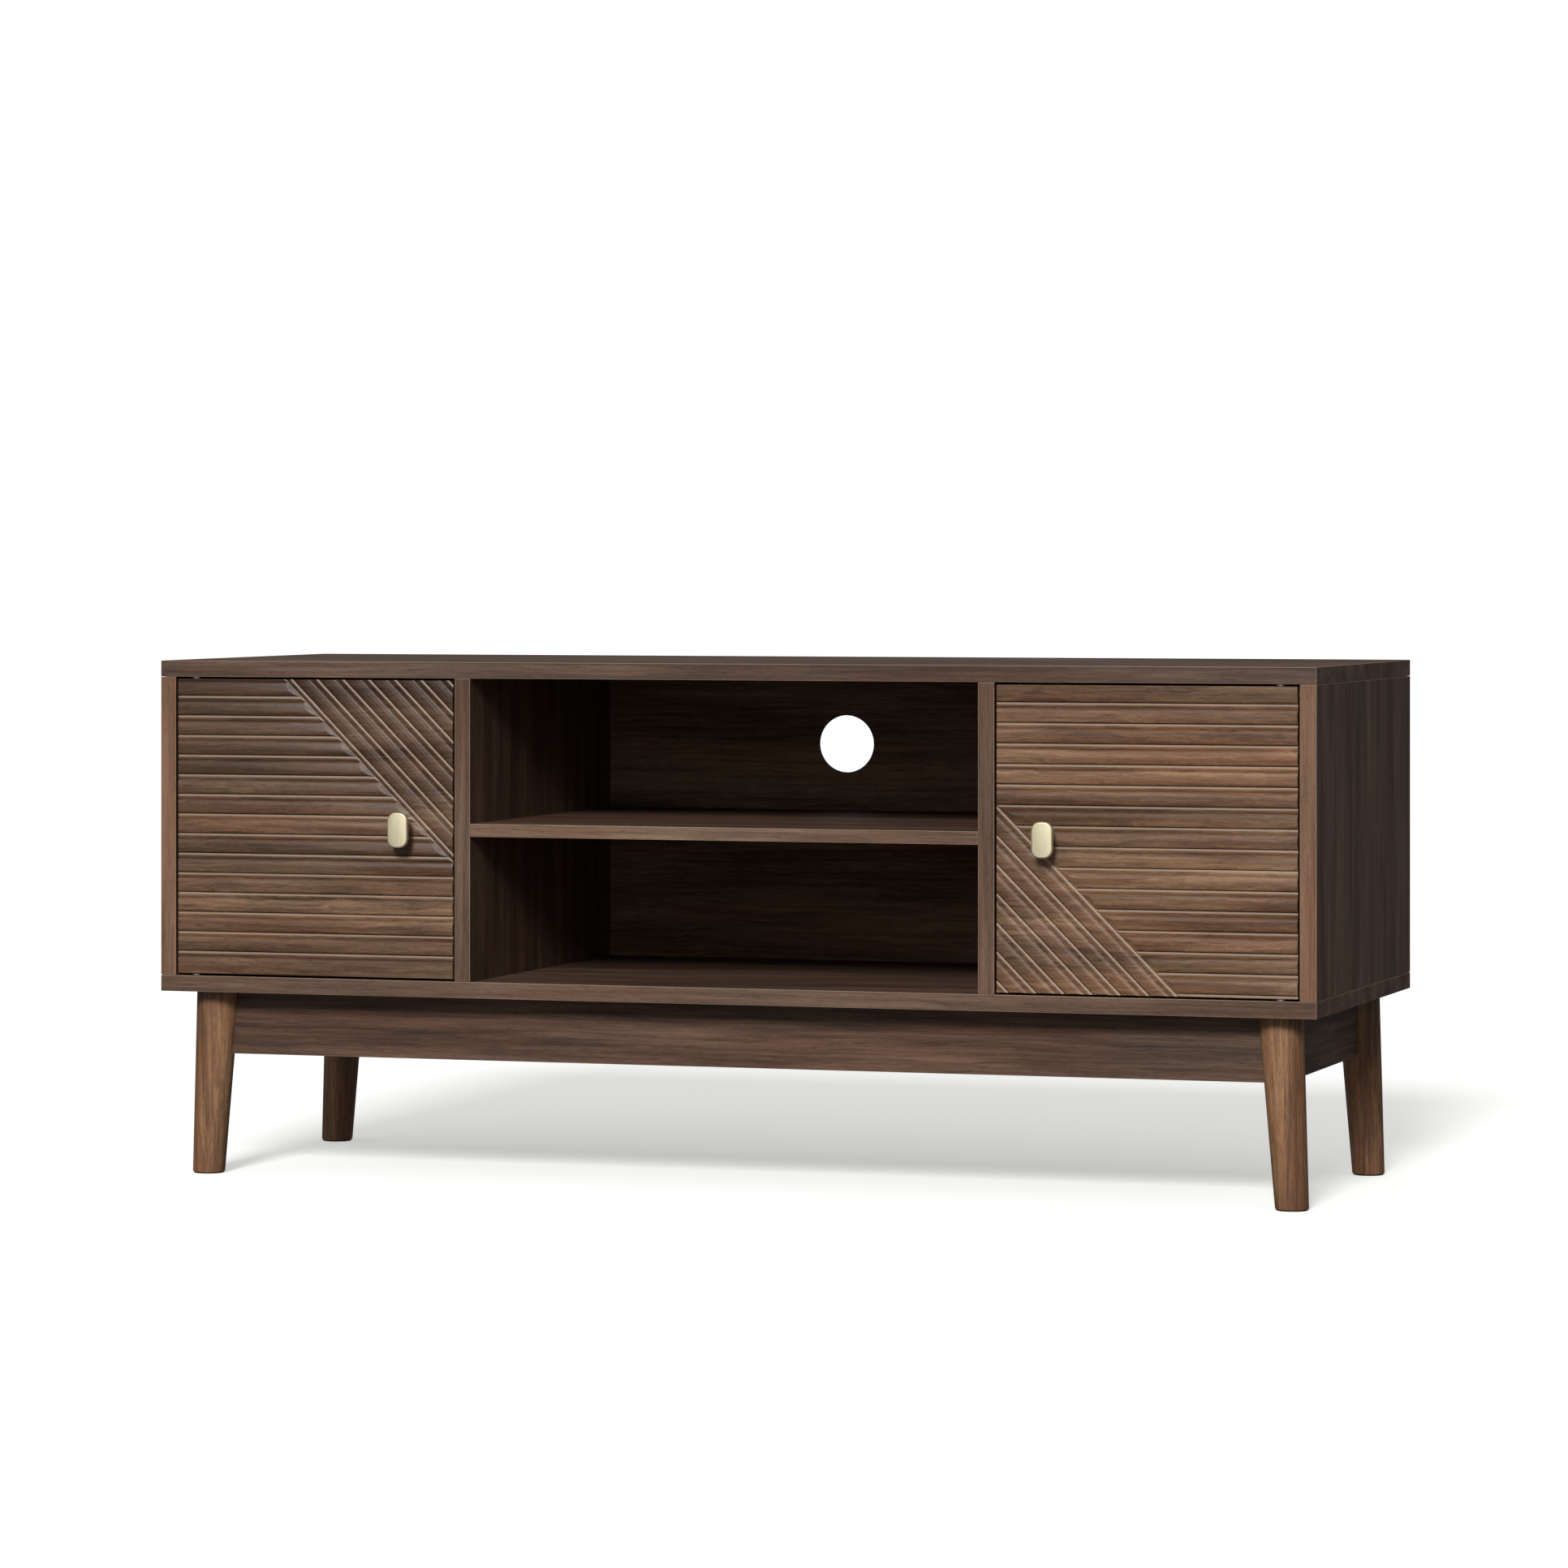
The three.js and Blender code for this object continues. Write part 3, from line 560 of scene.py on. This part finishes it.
zinc, tree = blank("bright zinc plated steel")
place = add(tree, "ShaderNodeTexCoord").outputs["Object"]
bloom = add(tree, "ShaderNodeTexNoise", {"Scale": 1 / (4 * MM), "Detail": 4.0}, {"Vector": place})
tint = add(
    tree,
    "ShaderNodeValToRGB",
    {"stops": [(0.35, "#a9adb2"), (0.65, "#c9ccd0")]},
    {0: bloom.outputs[0]},
)
rough = add(tree, "ShaderNodeMapRange", {3: 0.28, 4: 0.46}, {0: bloom.outputs[0]})
surface(tree, {"Metallic": 1.0}, {"Base Color": tint.outputs[0], "Roughness": rough.outputs[0]})

for end in ("front", "rear"):
    for side in ("left", "right"):
        corner = f"{end}_{side}"
        for node in (f"{corner}_hanger_bolt", f"{corner}_insert_nut"):
            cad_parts[node].data.materials.clear()
            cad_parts[node].data.materials.append(zinc)


def spun(profile, matrix, sides=64):
    """A turned piece from [radius, height] points in mm, both ends on the axis, then placed."""
    shape = bmesh.new()
    verts = [shape.verts.new((r * MM, 0, h * MM)) for r, h in profile]
    edges = [shape.edges.new(pair) for pair in zip(verts, verts[1:])]
    bmesh.ops.spin(
        shape,
        geom=verts + edges,
        cent=(0, 0, 0),
        axis=(0, 0, 1),
        angle=2 * math.pi,
        steps=sides,
        use_merge=True,
    )
    bmesh.ops.remove_doubles(shape, verts=shape.verts, dist=MERGE)
    bmesh.ops.recalc_face_normals(shape, faces=shape.faces)
    shape.transform(matrix)
    return shape


def middle(node):
    low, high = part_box(node)
    return (low + high) / 2


GLIDE_PROFILE = [(0, 0), (13.5, 0), (13.85, 0.15), (14, 0.5), (13.9, 0.9), (13.6, 1), (1.2, 1)]
NAIL_PROFILE = [(1.2, 11.3), (0, 13.3)]
for end in ("front", "rear"):
    for side in ("left", "right"):
        node = f"{end}_{side}_foot_glide"
        spot = middle(node)
        shape = spun(GLIDE_PROFILE + NAIL_PROFILE, Matrix.Translation((spot.x, spot.y, 0)))
        piece(shape, f"{node}_disc", [brown_plastic], "case", [node], 30)


# ---------------------------------------------------------------------------------------------
# Doors. 15 mm fibreboard routed into crowned slats with a small bead in each groove, then wrapped
# in walnut foil under vacuum. The foil's grain runs level, across the diagonal slats too. Painted
# shade darkens the downward faces above each bead, and a painted highlight pales the bead's upper
# side.
# ---------------------------------------------------------------------------------------------
DOOR_TONES = ["#5c4636", "#80654f", "#967860", "#b69779"]
SLATS = 15
CREASE = 2.4
BEAD_RISE = 0.7
SHOULDER = 4.8
GENTLE = math.radians(12)
STEEP = math.radians(62)
SHOULDER_RADIUS = (SHOULDER - CREASE) / (math.sin(STEEP) - math.sin(GENTLE))
SHOULDER_DROP = SHOULDER_RADIUS * (math.cos(GENTLE) - math.cos(STEEP))
FIELD_LEG = 162.5
MARGIN_END = 7.5
DOOR_BACK = 17
DOOR_SPARE = 3
DOOR_ROUND = 1.2 * MM
KNOB_HOLE_RADIUS = 2.3 * MM
BUSH_HOLE_RADIUS = 3.9 * MM
BUSH_HOLE_IN = 5.3 * MM
BUSH_HOLE_OUT = 7 * MM
# Downward groove faces deeper than this get painted shade.
SHADE_DEPTH = 0.9 * MM
GROOVE_REACH = 2.7 * MM
FACING_FRONT = -0.2
OVERHANG = -0.55
# Tilts between which the bead's upward faces get a painted highlight.
HIGHLIGHT_FROM = 0.15
HIGHLIGHT_TO = 0.6
BEAD_STEPS = 4
SHOULDER_STEPS = 6
CROWN_STEPS = 6


def crown_depth(pitch):
    """How far a slat's shoulders stand behind its middle."""
    return math.tan(GENTLE) * (pitch / 2 - SHOULDER) / 2


def half_groove(pitch):
    """From a groove's centre to the middle of the slat beside it: [across, depth] in mm."""
    crown = crown_depth(pitch)
    points = []
    for i in range(BEAD_STEPS):
        share = i / BEAD_STEPS
        points.append((CREASE * share, crown + SHOULDER_DROP - BEAD_RISE * (1 - share**2)))
    for i in range(SHOULDER_STEPS):
        slope = STEEP + (GENTLE - STEEP) * i / SHOULDER_STEPS
        across = CREASE + SHOULDER_RADIUS * (math.sin(STEEP) - math.sin(slope))
        depth = crown + SHOULDER_RADIUS * (math.cos(GENTLE) - math.cos(slope))
        points.append((across, depth))
    for i in range(CROWN_STEPS + 1):
        share = i / CROWN_STEPS
        across = SHOULDER + (pitch / 2 - SHOULDER) * share
        points.append((across, crown * (1 - share) ** 2))
    return points


def comb(centres, pitch, start, end, margin=False):
    """The outline of a grooved slab, [across, depth] in mm, with grooves at the given centres.

    With a margin, the last groove's far side is a plain slope that ends the level slats."""
    half = half_groove(pitch)
    outline = []
    for centre in centres:
        outline += [(centre - across, depth) for across, depth in reversed(half)]
        if margin and centre == centres[-1]:
            outline += [(centre + across, depth) for across, depth in half[1 : BEAD_STEPS + 1]]
            outline.append((centre + MARGIN_END, 0))
        else:
            outline += [(centre + across, depth) for across, depth in half[1:]]
    outline = [(a, d) for a, d in outline if start < a < end]
    tidy = [outline[0]]
    tidy += [b for a, b in zip(outline, outline[1:]) if math.dist(a, b) > 0.001]
    return [(start, tidy[0][1])] + tidy + [(end, tidy[-1][1]), (end, DOOR_BACK), (start, DOOR_BACK)]


def slab(outline, width, matrix):
    """A comb outline drawn out sideways. Its depth runs along Y and its outline down Z."""
    shape = bmesh.new()
    verts = [shape.verts.new((-width / 2 * MM, d * MM, -a * MM)) for a, d in outline]
    face = shape.faces.new(verts)
    drawn = bmesh.ops.extrude_face_region(shape, geom=[face])
    moved = [v for v in drawn["geom"] if isinstance(v, bmesh.types.BMVert)]
    bmesh.ops.translate(shape, verts=moved, vec=(width * MM, 0, 0))
    bmesh.ops.recalc_face_normals(shape, faces=shape.faces)
    shape.transform(matrix)
    return shape


def block(low, high, bevels=()):
    """A box between two corners, in metres. Each bevel is a size and a test for its edges."""
    shape = bmesh.new()
    size = Vector(high) - Vector(low)
    bmesh.ops.create_cube(
        shape,
        size=1,
        matrix=Matrix.Translation((Vector(low) + Vector(high)) / 2)
        @ Matrix.Diagonal((*size, 1)),
    )
    for offset, chosen in bevels:
        bmesh.ops.bevel(
            shape,
            geom=[e for e in shape.edges if chosen(e)],
            offset=offset,
            affect="EDGES",
            segments=8,
            profile=0.5,
            material=-1,
        )
    return shape


def routed_door(width, tall, depth):
    """A door about its own centre with its face at Y = 0. The diagonals fill the corner +X +Z."""
    pitch = tall / SLATS
    reach = width + tall
    corner = Matrix.Translation((width / 2 * MM, 0, tall / 2 * MM))
    level = comb([i * pitch for i in range(SLATS)], pitch, -DOOR_SPARE, tall + DOOR_SPARE)
    outer = FIELD_LEG / math.sqrt(2)
    count = int(outer // pitch) + 1
    lines = [outer - i * pitch for i in reversed(range(count))]
    slanted = comb(lines, pitch, -pitch, reach, True)
    top = Matrix.Translation((0, 0, tall / 2 * MM))
    levels = slab(level, width + 2 * DOOR_SPARE, top)
    diagonals = slab(slanted, 2 * reach, corner @ Matrix.Rotation(math.pi / 4, 4, "Y"))

    field = bmesh.new()
    leg = (outer + CREASE) * math.sqrt(2) * MM
    far = 2 * DOOR_SPARE * MM
    x, z = width / 2 * MM, tall / 2 * MM
    points = [(x - leg - far, z + far), (x + far, z + far), (x + far, z - leg - far)]
    face = field.faces.new([field.verts.new((px, -DOOR_SPARE * MM, pz)) for px, pz in points])
    drawn = bmesh.ops.extrude_face_region(field, geom=[face])
    moved = [v for v in drawn["geom"] if isinstance(v, bmesh.types.BMVert)]
    bmesh.ops.translate(field, verts=moved, vec=(0, (DOOR_BACK + DOOR_SPARE - 1) * MM, 0))
    bmesh.ops.recalc_face_normals(field, faces=field.faces)

    def front(edge):
        return all(v.co.y < MERGE for v in edge.verts)

    outline = block((-x, 0, -z), (x, depth * MM, z), [(DOOR_ROUND, front)])
    return drilled(
        tool(levels),
        [
            ("UNION", tool(field)),
            ("INTERSECT", tool(diagonals)),
            ("INTERSECT", tool(outline)),
        ],
    )


# The foil is printed in lighter and darker bands: the slat, counted from the top, and its tone,
# which multiplies the grain.
DEEP = "#7c7876"
DARK = "#908c8a"
MID = "#a09a96"
PALE = "#c0bab4"
LIGHT = "#dcd6d0"
PRINTED = {
    "left": [(1.5, DEEP), (3.5, MID), (5.5, DARK), (7.5, PALE), (9.5, DARK), (12, LIGHT), (14.5, MID)],
    "right": [(1.5, PALE), (4, LIGHT), (6.5, MID), (9, LIGHT), (11, PALE), (13, LIGHT), (15, PALE)],
}
for side, turn in (("left", 0), ("right", math.pi)):
    node = f"{side}_door"
    low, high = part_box(node)
    stops = [(1 - (slat - 0.5) / SLATS, tone) for slat, tone in reversed(PRINTED[side])]
    door_foil = walnut(
        f"walnut foil wrap, {side} sheet",
        "X",
        DOOR_TONES,
        9,
        0.42,
        0.25,
        (low.z, high.z, stops),
    )
    size = (high - low) / MM
    centre = (low + high) / 2
    shape = routed_door(size.x, size.z, size.y)
    place = Matrix.Translation((centre.x, low.y, centre.z)) @ Matrix.Rotation(turn, 4, "Y")
    shape.transform(place)
    knob = middle(f"{side}_knob")
    ends = [middle(f"{side}_upper_pivot_bush"), middle(f"{side}_lower_pivot_bush")]
    knob_hole = rod(KNOB_HOLE_RADIUS, (knob.x, low.y - MM, knob.z), (knob.x, high.y + MM, knob.z))
    holes = [knob_hole]
    for spot in ends:
        up = 1 if spot.z > centre.z else -1
        inner = (spot.x, spot.y, spot.z - up * BUSH_HOLE_IN)
        outer = (spot.x, spot.y, spot.z + up * BUSH_HOLE_OUT)
        holes.append(rod(BUSH_HOLE_RADIUS, inner, outer))
    shape = drilled(tool(shape), [("DIFFERENCE", tool(hole)) for hole in holes])
    sunk = shape.faces.layers.float.new("sunk")
    arris = shape.faces.layers.float.new("arris")
    ridge = low.y + (crown_depth(size.z / SLATS) + SHOULDER_DROP - BEAD_RISE) * MM
    for face in shape.faces:
        tilt = math.copysign(math.hypot(face.normal.x, face.normal.z), face.normal.z)
        place_y = face.calc_center_median().y
        if face.normal.y > FACING_FRONT or place_y > low.y + GROOVE_REACH:
            continue
        # Downward faces deep in a groove get painted shade.
        if tilt < OVERHANG and place_y > low.y + SHADE_DEPTH:
            face[sunk] = 1.0
        # The bead's upward faces get a painted highlight.
        if HIGHLIGHT_FROM < tilt < HIGHLIGHT_TO and place_y > ridge:
            face[arris] = 1.0
    piece(shape, f"{side}_door_routed", [door_foil], node, [node], 28)


# ---------------------------------------------------------------------------------------------
# Knobs. Upright tabs of pale satin brass on a round stem: cast, brushed upright and lacquered.
# The front is crowned from side to side, so it shades softly from one edge to the other.
# ---------------------------------------------------------------------------------------------
brass, tree = blank("pale satin brass, brushed upright")
place = add(tree, "ShaderNodeTexCoord").outputs["Object"]
scale = (1 / (0.3 * MM), 1 / (0.3 * MM), 1 / (9 * MM))
stroke = add(tree, "ShaderNodeMapping", {"Scale": scale}, {"Vector": place})
brushed = add(
    tree, "ShaderNodeTexNoise", {"Scale": 1.0, "Detail": 3.0}, {"Vector": stroke.outputs[0]}
)
tint = add(
    tree,
    "ShaderNodeValToRGB",
    {"stops": [(0.3, "#cfc5a3"), (0.7, "#ddd5ba")]},
    {0: brushed.outputs[0]},
)
rough = add(tree, "ShaderNodeMapRange", {3: 0.52, 4: 0.64}, {0: brushed.outputs[0]})
bump = add(
    tree,
    "ShaderNodeBump",
    {"Strength": 0.15, "Distance": 0.02 * MM},
    {"Height": brushed.outputs[0]},
)
surface(
    tree,
    {"Metallic": 1.0},
    {"Base Color": tint.outputs[0], "Roughness": rough.outputs[0], "Normal": bump.outputs[0]},
)

KNOB_CORNER = 8 * MM
KNOB_TAB = 6 * MM
KNOB_ROUND = 1.5 * MM
KNOB_CROWN = 0.5 * MM
KNOB_STRIPS = 12
for side in ("left", "right"):
    node = f"{side}_knob"
    low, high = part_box(node)
    centre = (low + high) / 2
    back = low.y + KNOB_TAB

    def upright_corner(edge):
        a, b = [v.co for v in edge.verts]
        return abs(a.x - b.x) < MERGE and abs(a.z - b.z) < MERGE

    def rim(edge):
        if not edge.is_manifold:
            return False
        return edge.calc_face_angle(0) > math.radians(60)

    tab = block(
        (low.x, low.y, low.z),
        (high.x, back, high.z),
        [(KNOB_CORNER, upright_corner), (KNOB_ROUND, rim)],
    )
    for i in range(1, KNOB_STRIPS):
        bmesh.ops.bisect_plane(
            tab,
            geom=tab.verts[:] + tab.edges[:] + tab.faces[:],
            plane_co=(low.x + (high.x - low.x) * i / KNOB_STRIPS, 0, 0),
            plane_no=(1, 0, 0),
        )
    for vert in tab.verts:
        if vert.co.y < low.y + KNOB_ROUND:
            across = (vert.co.x - centre.x) / ((high.x - low.x) / 2)
            vert.co.y += KNOB_CROWN * across**2
    stem_start = back - KNOB_TAB / 2
    stem = rod(5 * MM, (centre.x, stem_start, centre.z), (centre.x, high.y, centre.z), 64)
    shape = drilled(tool(tab), [("UNION", tool(stem))])
    piece(shape, f"{node}_tab", [brass], f"{side}_door", [node], 35)


# ---------------------------------------------------------------------------------------------
# Screws. Zinc plated, pan headed, with a cross recess. Four hold the shelf through the dividers,
# one holds each knob from behind its door.
# ---------------------------------------------------------------------------------------------
PAN_HEIGHT = 2.2
PAN_RIM = 1.1
PAN_GAP = 0.3


def screw(head, shank, length, matrix):
    """A pan headed screw in mm, pointing down -Z. Its head starts just above the origin."""
    profile = [(0, -length), (shank * 0.4, -length), (shank, -length + shank), (shank, PAN_GAP)]
    profile += [(head, PAN_GAP), (head, PAN_RIM)]
    for i in range(1, 6):
        turn = math.pi / 2 * i / 6
        rise = PAN_RIM + (PAN_HEIGHT - PAN_RIM) * math.sin(turn)
        profile.append((head * (1 - 0.35 * math.sin(turn)), rise))
    profile.append((0, PAN_HEIGHT))
    body = spun(profile, Matrix.Identity(4), 48)
    arm, wide = head * 0.55 * MM, head * 0.11 * MM
    bars = []
    for across, deep in ((arm, wide), (wide, arm)):
        bars.append(block((-across, -deep, 0.9 * MM), (across, deep, 4 * MM)))
    shape = drilled(tool(body), [("DIFFERENCE", tool(bar)) for bar in bars])
    shape.transform(matrix)
    return shape


for side, sign in (("left", -1), ("right", 1)):
    for end in ("front", "rear"):
        node = f"shelf_screw_{side}_{end}"
        low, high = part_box(node)
        spot = (low + high) / 2
        face_x = (low.x + PAN_HEIGHT * MM) if sign < 0 else (high.x - PAN_HEIGHT * MM)
        matrix = Matrix.Translation((face_x, spot.y, spot.z)) @ Matrix.Rotation(
            sign * math.pi / 2, 4, "Y"
        )
        shape = screw(4.5, 2.5, 45, matrix)
        piece(shape, f"{node}_pan", [zinc], "case", [node], 35)
    node = f"{side}_knob_screw"
    low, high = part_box(node)
    spot = (low + high) / 2
    matrix = Matrix.Translation((spot.x, high.y - PAN_HEIGHT * MM, spot.z)) @ Matrix.Rotation(
        -math.pi / 2, 4, "X"
    )
    shape = screw(4, 2, 23, matrix)
    piece(shape, f"{node}_pan", [zinc], f"{side}_door", [node], 35)


# ---------------------------------------------------------------------------------------------
# Apron brackets. Pressed zinc plated steel angles, one arm on the apron and one under the case.
# A pan headed screw holds each arm, 15 mm from the bracket's corner.
# ---------------------------------------------------------------------------------------------
BRACKET_HOLE = 15 * MM
BRACKET_SHEET = 2 * MM
SMALL_HEAD = 3.5
SMALL_SHANK = 1.6
SMALL_LENGTH = 13
ACROSS = {
    "front": ((0, -1), Matrix.Rotation(-math.pi / 2, 4, "X")),
    "rear": ((0, 1), Matrix.Rotation(math.pi / 2, 4, "X")),
    "left": ((-1, 0), Matrix.Rotation(math.pi / 2, 4, "Y")),
    "right": ((1, 0), Matrix.Rotation(-math.pi / 2, 4, "Y")),
}
for node in (
    "front_apron_bracket_left",
    "front_apron_bracket_right",
    "rear_apron_bracket_left",
    "rear_apron_bracket_right",
    "left_apron_bracket",
    "right_apron_bracket",
):
    shape = merged(node)
    ease(shape, node, 0.3 * MM)
    piece(shape, f"{node}_pressed", [zinc], "case", [node])
    (out_x, out_y), outwards = ACROSS[node.split("_")[0]]
    low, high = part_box(node)
    spot = (low + high) / 2
    corner_x = spot.x + out_x * (high.x - low.x) / 2
    corner_y = spot.y + out_y * (high.y - low.y) / 2
    beneath = Matrix.Translation(
        (
            corner_x - out_x * BRACKET_HOLE,
            corner_y - out_y * BRACKET_HOLE,
            high.z - BRACKET_SHEET,
        )
    )
    shape = screw(SMALL_HEAD, SMALL_SHANK, SMALL_LENGTH, beneath @ Matrix.Rotation(math.pi, 4, "X"))
    piece(shape, f"{node}_case_screw", [zinc], "case", (), 35)
    behind = Matrix.Translation(
        (
            corner_x - out_x * BRACKET_SHEET,
            corner_y - out_y * BRACKET_SHEET,
            high.z - BRACKET_HOLE,
        )
    )
    shape = screw(SMALL_HEAD, SMALL_SHANK, SMALL_LENGTH, behind @ outwards)
    piece(shape, f"{node}_apron_screw", [zinc], "case", (), 35)


# ---------------------------------------------------------------------------------------------
# Door pivots. Steel pins with a small flange in the gap above and below each door, running in
# white nylon bushes pressed into the door's ends.
# ---------------------------------------------------------------------------------------------
nylon = moulded("natural moulded nylon", ["#dedace", "#ebe8de"], 0.45)
PIN_IN = 8.7
PIN_PROFILE = [(0, -PIN_IN), (2, -PIN_IN), (2.5, -8.2), (2.5, 0.3), (4.3, 0.3), (4.5, 0.5), (4.5, 1.5)]
PIN_PROFILE += [(4.3, 1.7), (2.5, 1.7), (2.5, 10.5), (2, 11), (0, 11)]
for side in ("left", "right"):
    for end, flip in (("upper", 0), ("lower", math.pi)):
        node = f"{side}_{end}_pivot_pin"
        low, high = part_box(node)
        spot = (low + high) / 2
        face_z = (low.z + PIN_IN * MM) if flip == 0 else (high.z - PIN_IN * MM)
        matrix = Matrix.Translation((spot.x, spot.y, face_z)) @ Matrix.Rotation(flip, 4, "X")
        piece(spun(PIN_PROFILE, matrix), f"{node}_turned", [zinc], "case", [node], 30)
        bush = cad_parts[f"{side}_{end}_pivot_bush"]
        bush.data.materials.clear()
        bush.data.materials.append(nylon)


# ---------------------------------------------------------------------------------------------
# Magnetic catches. A ferrite block in a brown plastic housing under the top board, and a zinc
# plated strike plate on the back of the door.
# ---------------------------------------------------------------------------------------------
ferrite, tree = blank("pressed dark ferrite")
place = add(tree, "ShaderNodeTexCoord").outputs["Object"]
grit = add(tree, "ShaderNodeTexNoise", {"Scale": 1 / (0.5 * MM), "Detail": 3.0}, {"Vector": place})
tint = add(
    tree,
    "ShaderNodeValToRGB",
    {"stops": [(0.35, "#2f3032"), (0.65, "#45464a")]},
    {0: grit.outputs[0]},
)
surface(tree, {"Roughness": 0.55, "Metallic": 0.3}, {"Base Color": tint.outputs[0]})

for side in ("left", "right"):
    for node, material, slot, body in (
        (f"{side}_catch_housing", brown_plastic, "brown_plastic", "case"),
        (f"{side}_catch_magnet", ferrite, "magnet", "case"),
        (f"{side}_strike_plate", zinc, "zinc_steel", f"{side}_door"),
    ):
        shape = merged(node)
        ease(shape, node, 0.3 * MM)
        piece(shape, f"{node}_finished", [material], body, [node])
